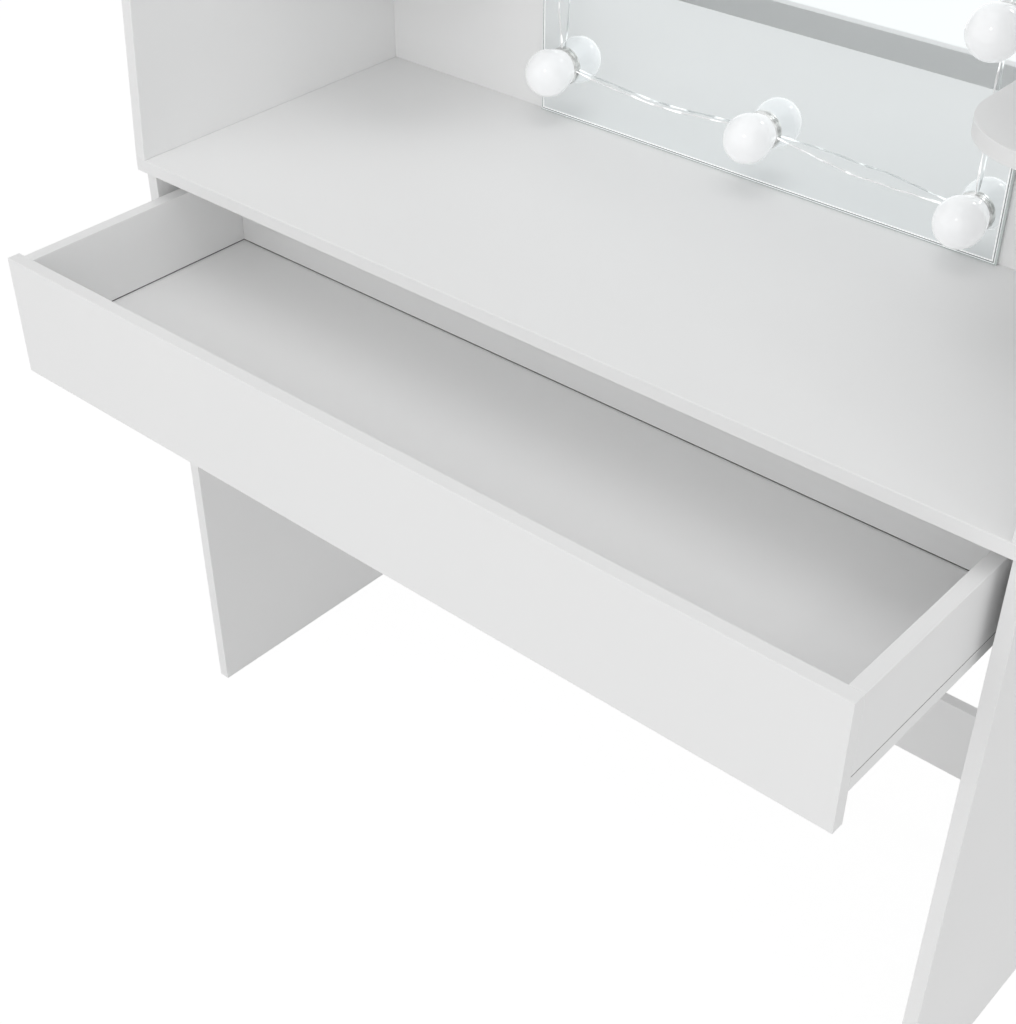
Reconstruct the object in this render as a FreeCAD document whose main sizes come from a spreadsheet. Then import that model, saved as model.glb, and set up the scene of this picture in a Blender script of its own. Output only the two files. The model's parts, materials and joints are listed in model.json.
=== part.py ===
"""Dressing table: a desk on two panel legs, one wide drawer, a mirror with round lamps and side shelves.

Millimetres, +Z up, +X to the sitter's right, the front faces -Y. The drawer is modelled open. The origin
is on the floor, in the middle of the table's box from the open drawer's face to the rear edge.
"""
import FreeCAD
import Part
import Sketcher
import math
import os
import re
from FreeCAD import Placement, Rotation, Vector

SIZES = [
    ("table_width", 1080, "across the desktop"),
    ("table_depth", 412, "desktop, front edge to rear edge"),
    ("desk_height", 780, "floor to the top of the desktop"),
    ("upper_height", 650, "desktop to the top of the upper sides"),
    ("upper_lean", 42, "how far the upper sides' front edges lean back at the top"),
    ("board", 15, "thickness of the coated boards"),
    ("arris", 0.6, "rounding of the boards' edges"),
    ("leg_setback", 12, "desktop's front edge to the legs' front edges"),
    ("stretcher_height", 104, "height of the rear stretcher"),
    ("stretcher_rise", 118, "floor to the rear stretcher"),
    ("shelf_gap", 18, "mirror's side edge to the shelf's free end"),
    ("shelf_depth", 200, "back board to the shelf's front edge"),
    ("shelf_round", 83, "radius of the shelf's free corner"),
    ("shelf_rise", 210, "desktop to the top of the lower shelves"),
    ("shelf_pitch", 215, "one shelf to the next"),
    ("mirror_width", 584, "across the mirror"),
    ("mirror_height", 640, "height of the mirror"),
    ("mirror_shift", 8, "table's middle to the mirror's middle"),
    ("mirror_glass", 4, "thickness of the mirror"),
    ("mirror_bevel", 1.5, "polished bevel round the mirror"),
    ("tape_thickness", 1, "foam tape behind the mirror"),
    ("tape_width", 25, "width of a strip of tape"),
    ("tape_pitch", 250, "one strip of tape to the next"),
    ("tape_margin", 20, "mirror's edge to the end of a strip of tape"),
    ("dome_radius", 26, "outer radius of a lamp dome"),
    ("dome_reach", 26.5, "mirror to the centre of a lamp dome"),
    ("dome_wall", 1.5, "wall of a lamp dome"),
    ("neck_radius", 20.5, "radius of a dome's neck on its base"),
    ("base_radius", 21, "radius of a lamp base"),
    ("base_height", 5, "mirror to the top of a lamp base"),
    ("base_edge", 0.4, "rounding of a lamp base"),
    ("chip_radius", 13, "radius of the lamp board in a dome"),
    ("chip_thickness", 1.2, "thickness of a lamp board"),
    ("lamp_inset", 33, "mirror's side edge to the lamps beside it"),
    ("lamp_rise", 60, "desktop to the lowest lamps"),
    ("lamp_fall", 64, "mirror's top edge to the highest lamps"),
    ("wire_radius", 1.1, "radius of the wire between lamps"),
    ("wire_lift", 3, "mirror to the wire where it leaves a base"),
    ("wire_gap", 0.3, "room between a wire's end and its base"),
    ("drawer_drop", 26, "finger gap between the desktop and the drawer"),
    ("drawer_out", 193, "desktop's front edge to the open drawer's face"),
    ("front_height", 138, "height of the drawer front"),
    ("front_reveal", 3, "gap between the drawer front and the left leg"),
    ("box_length", 298, "drawer front's rear face to the drawer's rear"),
    ("box_inside", 87, "height of the drawer's sides and back on its bottom board"),
    ("runner_space", 12.5, "drawer side to leg"),
    ("metal_thickness", 1.2, "sheet metal of the runners"),
    ("runner_inset", 18, "drawer side to the web of the runner under the bottom board"),
    ("runner_height", 16, "height of the drawer's runner"),
    ("runner_hanger", 20, "web to the edge of the runner's flange on the bottom board"),
    ("runner_flange", 10, "web to the edge of the runner's track"),
    ("case_reach", 2.5, "drawer runner's web to the edge of the case runner's track"),
    ("case_lip", 2, "how far the case runner's lip reaches over the drawer runner's track"),
    ("lip_play", 1, "drawer runner's track to the lip over it"),
    ("runner_setback", 77.5, "leg's front edge to the case runner"),
    ("runner_beyond", 50, "drawer's rear to the rear end of its runner"),
    ("roller_radius", 7, "radius of the rollers"),
    ("roller_width", 6, "width of the rollers"),
    ("roller_side", 2.2, "drawer runner's web to the near face of a roller"),
    ("roller_gap", 0.3, "room between a roller and its track"),
    ("roller_inset", 9, "case runner's front end to the front roller's pin"),
    ("roller_offset", 8, "drawer runner's rear end to the rear roller's pin"),
    ("pin_radius", 2, "radius of the rollers' pins"),
    ("pin_play", 0.08, "radial room between a pin and its roller"),
    ("pin_end", 1, "length of a pin beyond its roller"),
    ("close_play", 0.5, "closed drawer's rear roller to its stop"),
    ("dowel_radius", 4, "radius of the dowels"),
    ("dowel_long", 20, "dowel in the end of a board"),
    ("dowel_short", 10, "dowel in the face of a board"),
    ("dowel_play", 0.1, "radial room round a dowel or a screw"),
    ("dowel_end", 1, "room beyond the end of a dowel or a screw"),
    ("dowel_margin", 60, "end of a joint to its nearest dowel"),
    ("dowel_stagger", 30, "dowels above the desktop against those under it"),
    ("screw_radius", 1.75, "radius of a runner screw"),
    ("screw_head", 3.5, "radius of a runner screw's head"),
    ("screw_cap", 1.4, "height of a runner screw's head"),
    ("screw_length", 12, "length of a runner screw"),
    ("screw_margin", 40, "end of a runner to its nearest screw"),
    ("bolt_radius", 2.5, "radius of a board screw"),
    ("bolt_head", 4.5, "radius of a board screw's head"),
    ("bolt_cap", 2.5, "height of a board screw's head"),
    ("bolt_length", 45, "length of a board screw"),
]

# Places that several pieces share, as formulas of the sizes above.
FRONT_Y = "((drawer_out - table_depth) / 2)"
REAR_Y = "((drawer_out + table_depth) / 2)"
LEG_FRONT = f"({FRONT_Y} + leg_setback)"
LEG_DEPTH = "(table_depth - leg_setback)"
INNER_X = "(table_width / 2 - board)"
DESK_UNDER = "(desk_height - board)"
BACK_FACE = f"({REAR_Y} - board)"
MIRROR_FACE = f"({BACK_FACE} - tape_thickness - mirror_glass)"
DRAWER_TOP = f"({DESK_UNDER} - drawer_drop)"
PANEL_Z = f"({DRAWER_TOP} - box_inside)"
PANEL_UNDER = f"({PANEL_Z} - board)"
TRACK_Z = f"({PANEL_UNDER} - runner_height)"
FACE_Y = f"({FRONT_Y} - drawer_out)"
BOX_Y = f"({FACE_Y} + board)"
BOX_REAR = f"({BOX_Y} + box_length)"
BOX_X = f"({INNER_X} - runner_space)"
WEB_X = f"({BOX_X} - runner_inset)"
LEG_TO_WEB = "(runner_space + runner_inset)"
ROLLER_Z = f"({TRACK_Z} - roller_gap - roller_radius)"
CASE_RUNNER_Y = f"({LEG_FRONT} + runner_setback)"
FRONT_ROLLER_Y = f"({CASE_RUNNER_Y} + roller_inset)"
RUNNER_LENGTH = "(box_length + runner_beyond)"
REAR_ROLLER_Y = f"({BOX_REAR} + runner_beyond - roller_offset)"
TRAVEL_IN = "(drawer_out + leg_setback)"
SHELF_WIDTH = f"({INNER_X} - mirror_width / 2 - shelf_gap)"

SIDES = (("left", -1), ("right", 1))
ALONG = {
    "x": Rotation(Vector(0, 1, 0), 90),
    "y": Rotation(Vector(1, 0, 0), -90),
    "z": Rotation(),
}
TOWARDS_SITTER = Rotation(Vector(1, 0, 0), 90)

# The lamps in the order of their wire, as (column, row): down the right, along the bottom, up the left.
# They are stuck on by hand, so two of them sit a little off their column or row.
LAMPS = [(1, 3), (1, 2), (1, 1), (1, -0.08), (0.045, 0), (-1, 0), (-1, 1), (-1, 2), (-1, 3), (0, 3)]
TOP_ROW = max(row for _, row in LAMPS)
# Each wire's runs from lamp to lamp, in that order: how far a run sags and how far it bows off the mirror.
WIRES = {
    "wires_right": [(0, 5), (0, 4), (0, 3)],
    "wires_bottom": [(1, 11), (8, 2)],
    "wires_left": [(0, 6), (0, 5), (0, 6)],
    "wire_top": [(12, 4)],
}
WIRE_SHARES = (0.0, 0.25, 0.5, 0.75, 1.0)
ARC_SHARE = 0.45

doc = FreeCAD.newDocument("DressingTable")
sheet = doc.addObject("Spreadsheet::Sheet", "Sizes")
corners = {}
groups = {}


def fill_sheet():
    """Put each size in the sheet: its note, its value and its alias."""
    for row, (name, value, note) in enumerate(SIZES, start=1):
        sheet.set(f"A{row}", note)
        sheet.set(f"B{row}", str(value))
        sheet.setAlias(f"B{row}", name)
    doc.recompute()


def formula(text):
    """The formula with each size's name pointing at the sheet."""
    names = {name for name, _, _ in SIZES}
    return re.sub(r"[a-z_]+", lambda word: f"Sizes.{word[0]}" if word[0] in names else word[0], text)


def bind(item, **sizes):
    """Tie properties of an object to formulas of the sheet's sizes."""
    for name, text in sizes.items():
        item.setExpression(name, formula(text))


def move(item, corner, turn=None):
    """Tie an object's place to three formulas, after an optional fixed turn."""
    item.Placement = Placement(Vector(), turn or Rotation())
    for axis, text in zip("xyz", corner):
        item.setExpression(f"Placement.Base.{axis}", formula(text))


def size_of(name):
    """A size's number, for shapes that are worked out point by point."""
    return float(sheet.get(name))


def shifted(point, axis, amount):
    """The point's three formulas with an amount added along one axis."""
    return tuple(f"{text} + {amount}" if a == axis else text for a, text in zip("xyz", point))


def new_body(label, corner):
    """An empty body whose own origin lies at the corner."""
    body = doc.addObject("PartDesign::Body", label)
    move(body, corner)
    corners[label] = corner
    return body


def block(body, size, corner=("0", "0", "0"), cut=False):
    """Add a box to a body, or cut one from it, at a corner in the body's own frame."""
    kind = "SubtractiveBox" if cut else "AdditiveBox"
    feature = body.newObject(f"PartDesign::{kind}", f"{body.Name}_{'cut' if cut else 'block'}")
    bind(feature, Length=size[0], Width=size[1], Height=size[2])
    move(feature, corner)
    body.Tip = feature
    return feature


def soften(body, radius="arris"):
    """Round every edge that the body has so far."""
    base = body.Tip
    doc.recompute()
    feature = body.newObject("PartDesign::Fillet", f"{body.Name}_soft")
    feature.Base = (base, [""])
    feature.UseAllEdges = True
    bind(feature, Radius=radius)
    body.Tip = feature


def board(label, corner, size):
    """A plain coated board with softened edges, from its lowest corner."""
    body = new_body(label, corner)
    block(body, size)
    soften(body)
    return body


def bore(body, axis, start, radius, depth):
    """Drill a body along an axis, from a point of the table's frame."""
    tool = body.newObject("PartDesign::SubtractiveCylinder", f"{body.Name}_bore")
    bind(tool, Radius=radius, Height=depth)
    local = [f"{text} - ({own})" for text, own in zip(start, corners[body.Name])]
    move(tool, local, ALONG[axis])
    body.Tip = tool


def rod(name, axis, start, radius, length):
    """A plain cylinder along an axis."""
    item = doc.addObject("Part::Cylinder", name)
    bind(item, Radius=radius, Height=length)
    move(item, start, ALONG[axis])
    return item


def outline(body, plane, points, length, backwards=False):
    """Pad a closed outline of straight lines, whose corners are tied to formulas."""
    sketch = body.newObject("Sketcher::SketchObject", f"{body.Name}_outline")
    planes = {feature.Role: feature for feature in body.Origin.OriginFeatures}
    sketch.AttachmentSupport = [(planes[plane], "")]
    sketch.MapMode = "FlatFace"
    count = len(points)
    start = [Vector(math.cos(math.tau * i / count), math.sin(math.tau * i / count), 0) for i in range(count)]
    for i in range(count):
        sketch.addGeometry(Part.LineSegment(start[i], start[(i + 1) % count]))
    for i in range(count):
        sketch.addConstraint(Sketcher.Constraint("Coincident", i, 2, (i + 1) % count, 1))
    for i, point in enumerate(points):
        for kind, text, value in zip(("DistanceX", "DistanceY"), point, start[i]):
            index = sketch.addConstraint(Sketcher.Constraint(kind, -1, 1, i, 1, value))
            sketch.setExpression(f"Constraints[{index}]", formula(text))
    pad = body.newObject("PartDesign::Pad", f"{body.Name}_pad")
    pad.Profile = sketch
    pad.Reversed = backwards
    bind(pad, Length=length)
    body.Tip = pad
    return pad


def dowel(group, axis, at, low, high):
    """A dowel across a joint at a point, in a board on the axis's low side and one on its high side.

    Each board is given with the size that says how deep the dowel goes into it.
    """
    low_body, low_depth = low
    high_body, high_depth = high
    start = shifted(at, axis, f"(-{low_depth})")
    groups.setdefault(group, []).append(
        rod(f"{group}_pin", axis, start, "dowel_radius", f"{low_depth} + {high_depth}"))
    radius = "dowel_radius + dowel_play"
    bore(low_body, axis, shifted(start, axis, "(-dowel_end)"), radius, f"{low_depth} + dowel_end")
    bore(high_body, axis, at, radius, f"{high_depth} + dowel_end")


def screw(group, kind, axis, way, at, hosts, sunk_in=None):
    """A screw whose head seats at a point and whose shank goes one way along an axis, through its hosts."""
    radius, head, cap, length = (f"{kind}_{part}" for part in ("radius", "head", "cap", "length"))
    tail = at if way > 0 else shifted(at, axis, f"(-{length})")
    crown = shifted(at, axis, f"(-{cap})") if way > 0 else at
    whole = doc.addObject("Part::Fuse", f"{group}_screw")
    whole.Base = rod(f"{group}_head", axis, crown, head, cap)
    whole.Tool = rod(f"{group}_shank", axis, tail, radius, length)
    groups.setdefault(group, []).append(whole)
    end = tail if way > 0 else shifted(tail, axis, "(-dowel_end)")
    for host in hosts:
        bore(host, axis, end, f"{radius} + dowel_play", f"{length} + dowel_end")
    if sunk_in:
        bore(sunk_in, axis, crown, f"{head} + dowel_play", cap)


def finish_groups():
    """Make one object of each group of fasteners."""
    for label, members in groups.items():
        group = doc.addObject("Part::Compound", label)
        group.Links = members
        nodes.append(group)


def spread(start, length, margin, count):
    """Evenly spaced places along a length, with a margin at both ends."""
    return [f"({start} + {margin} + ({length} - 2 * {margin}) * {i / (count - 1)})" for i in range(count)]


def carcass():
    """Desktop, legs and stretcher, and the upper sides and back board that stand on the desktop."""
    desktop = board(
        "desktop",
        ("-table_width / 2", FRONT_Y, DESK_UNDER),
        ("table_width", "table_depth", "board"))
    stretcher = board(
        "stretcher",
        (f"-{INNER_X}", f"{REAR_Y} - board", "stretcher_rise"),
        (f"2 * {INNER_X}", "board", "stretcher_height"))
    back = board(
        "back_board",
        (f"-{INNER_X}", BACK_FACE, "desk_height"),
        (f"2 * {INNER_X}", "board", "upper_height"))
    profile = [
        ("0", "0"),
        ("table_depth", "0"),
        ("table_depth", "upper_height"),
        ("upper_lean", "upper_height"),
    ]
    uppers = {}
    for side, sign in SIDES:
        low_x = f"({sign} * (table_width - board) / 2 - board / 2)"
        leg = board(f"leg_{side}", (low_x, LEG_FRONT, "0"), ("board", LEG_DEPTH, DESK_UNDER))
        upper = new_body(f"upper_side_{side}", (low_x, FRONT_Y, "desk_height"))
        outline(upper, "YZ_Plane", profile, "board")
        soften(upper)
        uppers[side] = upper
        nodes.extend((leg, upper))
        middle = f"({low_x} + board / 2)"
        inner = f"({sign} * {INNER_X})"
        for y in spread(LEG_FRONT, LEG_DEPTH, "dowel_margin", 3):
            below = (middle, y, DESK_UNDER)
            above = (middle, f"({y} + dowel_stagger)", "desk_height")
            dowel("carcass_dowels", "z", below, (leg, "dowel_long"), (desktop, "dowel_short"))
            dowel("carcass_dowels", "z", above, (desktop, "dowel_short"), (upper, "dowel_long"))
        rows = [
            ("stretcher_rise", "stretcher_height", stretcher, leg, 2),
            ("desk_height", "upper_height", back, upper, 3),
        ]
        for start, length, between, outer, count in rows:
            pair = ((between, "dowel_long"), (outer, "dowel_short"))
            for z in spread(start, length, f"{length} / 4", count):
                at = (inner, f"({REAR_Y} - board / 2)", z)
                dowel("carcass_dowels", "x", at, *pair[::sign])
    nodes.extend((desktop, stretcher, back))
    return uppers, back


def shelves(uppers, back):
    """Two shelves on each side of the mirror, dowelled to the side and screwed through the back board."""
    for side, sign in SIDES:
        for level, name in enumerate(("lower", "upper")):
            top = f"(desk_height + shelf_rise + {level} * shelf_pitch)"
            low_x = f"{INNER_X} - {SHELF_WIDTH}" if sign > 0 else f"-{INNER_X}"
            corner = (low_x, f"{BACK_FACE} - shelf_depth", f"{top} - board")
            shelf = new_body(f"shelf_{side}_{name}", corner)
            blank = block(shelf, (SHELF_WIDTH, "shelf_depth", "board"))
            doc.recompute()
            rounding = shelf.newObject("PartDesign::Fillet", f"{shelf.Name}_round")
            rounding.Base = (blank, [free_corner(blank, sign)])
            bind(rounding, Radius="shelf_round")
            shelf.Tip = rounding
            soften(shelf)
            nodes.append(shelf)
            middle_z = f"({top} - board / 2)"
            inner = f"({sign} * {INNER_X})"
            for y in spread(corner[1], "shelf_depth", "shelf_depth / 4", 2):
                pair = ((shelf, "dowel_long"), (uppers[side], "dowel_short"))
                dowel("shelf_dowels", "x", (inner, y, middle_z), *pair[::sign])
            seat = (f"({low_x} + {SHELF_WIDTH} / 2)", f"({REAR_Y} - bolt_cap)", middle_z)
            screw("shelf_screws", "bolt", "y", -1, seat, (back, shelf), sunk_in=back)


def free_corner(blank, sign):
    """The name of the upright edge at a shelf blank's front, at the end that looks to the table's middle."""
    upright = [(number, edge) for number, edge in enumerate(blank.Shape.Edges, start=1)
               if edge.BoundBox.ZLength > edge.BoundBox.XLength + edge.BoundBox.YLength]
    number, _ = min(upright, key=lambda item: (item[1].CenterOfMass.y, sign * item[1].CenterOfMass.x))
    return f"Edge{number}"


def mirror():
    """The mirror on the desktop, taped to the back board."""
    glass = new_body("mirror", ("mirror_shift - mirror_width / 2", MIRROR_FACE, "desk_height"))
    blank = block(glass, ("mirror_width", "mirror_glass", "mirror_height"))
    doc.recompute()
    bevel = glass.newObject("PartDesign::Chamfer", "mirror_bevelled")
    bevel.Base = (blank, [""])
    bevel.UseAllEdges = True
    bind(bevel, Size="mirror_bevel")
    glass.Tip = bevel
    nodes.append(glass)
    for place in (-1, 0, 1):
        strip = doc.addObject("Part::Box", "tape_strip")
        bind(strip, Length="tape_width", Width="tape_thickness", Height="mirror_height - 2 * tape_margin")
        low_x = f"mirror_shift + {place} * tape_pitch - tape_width / 2"
        move(strip, (low_x, f"{BACK_FACE} - tape_thickness", "desk_height + tape_margin"))
        groups.setdefault("mirror_tape", []).append(strip)


def lamp_place(column, row):
    """Where a lamp's axis meets the mirror."""
    return (f"(mirror_shift + {column} * (mirror_width / 2 - lamp_inset))", MIRROR_FACE,
            f"(desk_height + lamp_rise + {row / TOP_ROW} * (mirror_height - lamp_rise - lamp_fall))")


def globe(name, place, radius, neck):
    """A ball whose sides run on as a cone, from where it touches the ball to the lamp base's top."""
    height = "(dome_reach - base_height)"
    away = f"sqrt({height} ^ 2 + ({neck}) ^ 2)"
    touch = f"(atan(({neck}) / {height}) + acos(({radius}) / {away}))"
    ball = doc.addObject("Part::Sphere", f"{name}_ball")
    bind(ball, Radius=radius, Angle1=f"{touch} - 90 deg")
    move(ball, shifted(place, "y", "(-dome_reach)"), TOWARDS_SITTER)
    cone = doc.addObject("Part::Cone", f"{name}_neck")
    bind(cone, Radius1=neck, Radius2=f"({radius}) * sin({touch})",
         Height=f"{height} - ({radius}) * cos({touch})")
    move(cone, shifted(place, "y", "(-base_height)"), TOWARDS_SITTER)
    whole = doc.addObject("Part::MultiFuse", name)
    whole.Shapes = [ball, cone]
    whole.Refine = True
    return whole


def lamps():
    """A silver base on the mirror, a lamp board on it and a hollow dome over both, for each lamp."""
    for number, (column, row) in enumerate(LAMPS, start=1):
        place = lamp_place(column, row)
        base = new_body(f"lamp_base_{number:02}", shifted(place, "y", "(-base_height)"))
        puck = base.newObject("PartDesign::AdditiveCylinder", f"{base.Name}_puck")
        bind(puck, Radius="base_radius", Height="base_height")
        puck.Placement = Placement(Vector(), ALONG["y"])
        base.Tip = puck
        soften(base, "base_edge")
        chip_place = shifted(place, "y", "(-base_height - chip_thickness)")
        chip = rod("lamp_chip", "y", chip_place, "chip_radius", "chip_thickness")
        groups.setdefault("lamp_boards", []).append(chip)
        dome = doc.addObject("Part::Cut", f"lamp_dome_{number:02}")
        dome.Base = globe(f"{dome.Name}_outside", place, "dome_radius", "neck_radius")
        dome.Tool = globe(f"{dome.Name}_inside", place, "dome_radius - dome_wall", "neck_radius - dome_wall")
        nodes.extend((base, dome))


def route_of(lamp_pair, sag, bow):
    """The points of one wire from base to base, with its sag and its bow off the mirror."""
    half_row = size_of("mirror_width") / 2 - size_of("lamp_inset")
    lowest = size_of("desk_height") + size_of("lamp_rise")
    climb = size_of("mirror_height") - size_of("lamp_rise") - size_of("lamp_fall")
    middle = size_of("mirror_shift")
    ends = [Vector(middle + column * half_row, 0, lowest + row / TOP_ROW * climb)
            for column, row in lamp_pair]
    mirror_y = (size_of("drawer_out") + size_of("table_depth")) / 2 - size_of("board")
    mirror_y -= size_of("tape_thickness") + size_of("mirror_glass")
    along = (ends[1] - ends[0]).normalize()
    clear = size_of("base_radius") + size_of("wire_gap")
    start = ends[0] + along * clear
    span = (ends[1] - along * clear) - start
    points = []
    for share in WIRE_SHARES:
        swell = 4 * share * (1 - share)
        offset = Vector(0, mirror_y - size_of("wire_lift") - bow * swell, -sag * swell)
        points.append(start + span * share + offset)
    return points


def tube(points, radius):
    """A round wire along straight runs joined by tangent arcs, and its tightest bend."""
    edges = []
    tail = points[0]
    tightest = math.inf
    for before, point, after in zip(points, points[1:], points[2:]):
        back = (before - point).normalize()
        ahead = (after - point).normalize()
        half_turn = (math.pi - back.getAngle(ahead)) / 2
        reach = ARC_SHARE * min(before.distanceToPoint(point), after.distanceToPoint(point))
        bend = reach / math.tan(half_turn)
        tightest = min(tightest, bend)
        middle = point + (back + ahead).normalize() * (bend / math.cos(half_turn) - bend)
        edges.append(Part.LineSegment(tail, point + back * reach).toShape())
        edges.append(Part.Arc(point + back * reach, middle, point + ahead * reach).toShape())
        tail = point + ahead * reach
    edges.append(Part.LineSegment(tail, points[-1]).toShape())
    path = Part.Wire(edges)
    ring = Part.Wire(Part.makeCircle(radius, points[0], points[1] - points[0]))
    solid = path.makePipeShell([ring], True, False)
    expected = math.pi * radius ** 2 * path.Length
    print(f"wire {path.Length:.1f} long, bend {tightest:.0f}, volume share {solid.Volume / expected:.4f}")
    return solid


def wires():
    """The clear wire that runs from lamp to lamp over the mirror."""
    lamp_pairs = zip(LAMPS, LAMPS[1:])
    for label, runs in WIRES.items():
        routes = [route_of(next(lamp_pairs), sag, bow) for sag, bow in runs]
        node = doc.addObject("Part::Feature", label)
        node.Shape = Part.makeCompound([tube(route, size_of("wire_radius")) for route in routes])
        nodes.append(node)


def drawer():
    """Drawer front, flush with the right side, and sides and back on a bottom board, as open as pictured."""
    front_left = f"({INNER_X} - front_reveal)"
    front = board("drawer_front", (f"-{front_left}", FACE_Y, f"{DRAWER_TOP} - front_height"),
                  (f"{front_left} + {BOX_X}", "board", "front_height"))
    bottom = board("drawer_bottom", (f"-{BOX_X}", BOX_Y, PANEL_UNDER),
                   (f"2 * {BOX_X}", "box_length", "board"))
    inside = f"(2 * ({BOX_X} - board))"
    rear_low = f"({BOX_REAR} - board)"
    back = board("drawer_back", (f"-{inside} / 2", rear_low, PANEL_Z), (inside, "board", "box_inside"))
    rear_middle = f"({rear_low} + board / 2)"
    head_z = f"({PANEL_UNDER} + bolt_cap)"
    for place in (-1, 0, 1):
        x = f"({place} * {BOX_X} / 2)"
        joint = (x, BOX_Y, f"({PANEL_UNDER} + board / 2)")
        dowel("drawer_dowels", "y", joint, (front, "dowel_short"), (bottom, "dowel_long"))
        screw("drawer_screws", "bolt", "z", 1, (x, rear_middle, head_z), (bottom, back), sunk_in=bottom)
    for side, sign in SIDES:
        low_x = f"{BOX_X} - board" if sign > 0 else f"-{BOX_X}"
        wall = board(f"drawer_side_{side}", (low_x, BOX_Y, PANEL_Z), ("board", "box_length", "box_inside"))
        middle = f"({sign} * ({BOX_X} - board / 2))"
        head_x = f"({sign} * ({BOX_X} - bolt_cap))"
        for z in spread(PANEL_Z, "box_inside", "box_inside / 4", 2):
            dowel("drawer_dowels", "y", (middle, BOX_Y, z), (front, "dowel_short"), (wall, "dowel_long"))
            seat = (head_x, rear_middle, z)
            screw("drawer_screws", "bolt", "x", -sign, seat, (wall, back), sunk_in=wall)
        for y in spread(BOX_Y, "box_length", "dowel_margin", 3):
            screw("drawer_screws", "bolt", "z", 1, (middle, y, head_z), (bottom, wall), sunk_in=bottom)
        nodes.append(wall)
    nodes.extend((front, back, bottom))
    return bottom


def drawer_runner(side, sign, bottom):
    """The drawer's runner: a flange under the bottom board, a web, a track and a roller pin."""
    runner = new_body(f"drawer_runner_{side}", (f"{sign} * {WEB_X}", BOX_Y, TRACK_Z))
    profile = [
        ("-runner_hanger", "runner_height - metal_thickness"),
        ("0", "runner_height - metal_thickness"),
        ("0", "0"),
        ("runner_flange", "0"),
        ("runner_flange", "metal_thickness"),
        ("metal_thickness", "metal_thickness"),
        ("metal_thickness", "runner_height"),
        ("-runner_hanger", "runner_height"),
    ]
    outline(runner, "XZ_Plane", [(f"{sign} * ({x})", z) for x, z in profile], RUNNER_LENGTH, backwards=True)
    ear_x = "0" if sign > 0 else "-metal_thickness"
    ear_length = "(2 * roller_offset)"
    ear_drop = "(2 * roller_radius)"
    ear_size = ("metal_thickness", ear_length, ear_drop)
    block(runner, ear_size, (ear_x, f"{RUNNER_LENGTH} - {ear_length}", f"-{ear_drop}"))
    reach = "(roller_side + roller_width + pin_end)"
    pin_x = "0" if sign > 0 else f"-{reach}"
    add_pin(runner, (pin_x, f"{RUNNER_LENGTH} - roller_offset", "-roller_gap - roller_radius"), reach)
    for y in spread(BOX_Y, "box_length", "screw_margin", 3):
        seat = (f"({sign} * ({WEB_X} - runner_hanger / 2))", y, f"({PANEL_UNDER} - metal_thickness)")
        screw("drawer_runner_screws", "screw", "z", 1, seat, (runner, bottom))
    nodes.append(runner)


def case_runner(side, sign, leg):
    """The leg's runner: a roller channel, a lip over the drawer's track, a stop and a roller pin."""
    stop = f"({REAR_ROLLER_Y} + {TRAVEL_IN} + roller_radius + close_play)"
    length = f"({stop} + metal_thickness - {CASE_RUNNER_Y})"
    runner = new_body(f"case_runner_{side}", (f"{sign} * {INNER_X}", CASE_RUNNER_Y, TRACK_Z))
    floor = "(-2 * (roller_radius + roller_gap))"
    lip = "(metal_thickness + lip_play)"
    lip_edge = f"({LEG_TO_WEB} - runner_flange + case_lip)"
    track_edge = f"({LEG_TO_WEB} - case_reach)"
    channel = [
        ("0", f"{floor} - metal_thickness"),
        ("0", f"{lip} + metal_thickness"),
        (lip_edge, f"{lip} + metal_thickness"),
        (lip_edge, lip),
        ("metal_thickness", lip),
        ("metal_thickness", floor),
        (track_edge, floor),
        (track_edge, f"{floor} - metal_thickness"),
    ]
    outline(runner, "XZ_Plane", [(f"{-sign} * {x}", z) for x, z in channel], length, backwards=True)
    low_x = f"-{track_edge}" if sign > 0 else "0"
    stop_size = (track_edge, "metal_thickness", "roller_radius")
    block(runner, stop_size, (low_x, f"{length} - metal_thickness", floor))
    reach = f"({LEG_TO_WEB} - roller_side + pin_end)"
    pin_x = f"-{reach}" if sign > 0 else "0"
    add_pin(runner, (pin_x, "roller_inset", "-roller_gap - roller_radius"), reach)
    for y in spread(CASE_RUNNER_Y, length, "screw_margin", 3):
        seat = (f"({sign} * ({INNER_X} - metal_thickness))", y, ROLLER_Z)
        screw("case_runner_screws", "screw", "x", sign, seat, (runner, leg))
    nodes.append(runner)


def add_pin(runner, start, length):
    """A roller's pin across a runner's channel, in the runner's own frame."""
    pin = runner.newObject("PartDesign::AdditiveCylinder", f"{runner.Name}_pin")
    bind(pin, Radius="pin_radius", Height=length)
    move(pin, start, ALONG["x"])
    runner.Tip = pin


def roller(label, sign, y):
    """A roller on its pin."""
    low_x = f"{WEB_X} + roller_side" if sign > 0 else f"-{WEB_X} - roller_side - roller_width"
    wheel = new_body(label, (low_x, y, ROLLER_Z))
    disc = wheel.newObject("PartDesign::AdditiveCylinder", f"{label}_disc")
    bind(disc, Radius="roller_radius", Height="roller_width")
    disc.Placement = Placement(Vector(), ALONG["x"])
    wheel.Tip = disc
    soften(wheel)
    bore(wheel, "x", (low_x, y, ROLLER_Z), "pin_radius + pin_play", "roller_width")
    nodes.append(wheel)


def runners(bottom):
    """Both pairs of runners with their rollers."""
    for side, sign in SIDES:
        drawer_runner(side, sign, bottom)
        case_runner(side, sign, doc.getObject(f"leg_{side}"))
        roller(f"front_roller_{side}", sign, FRONT_ROLLER_Y)
        roller(f"rear_roller_{side}", sign, REAR_ROLLER_Y)


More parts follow.
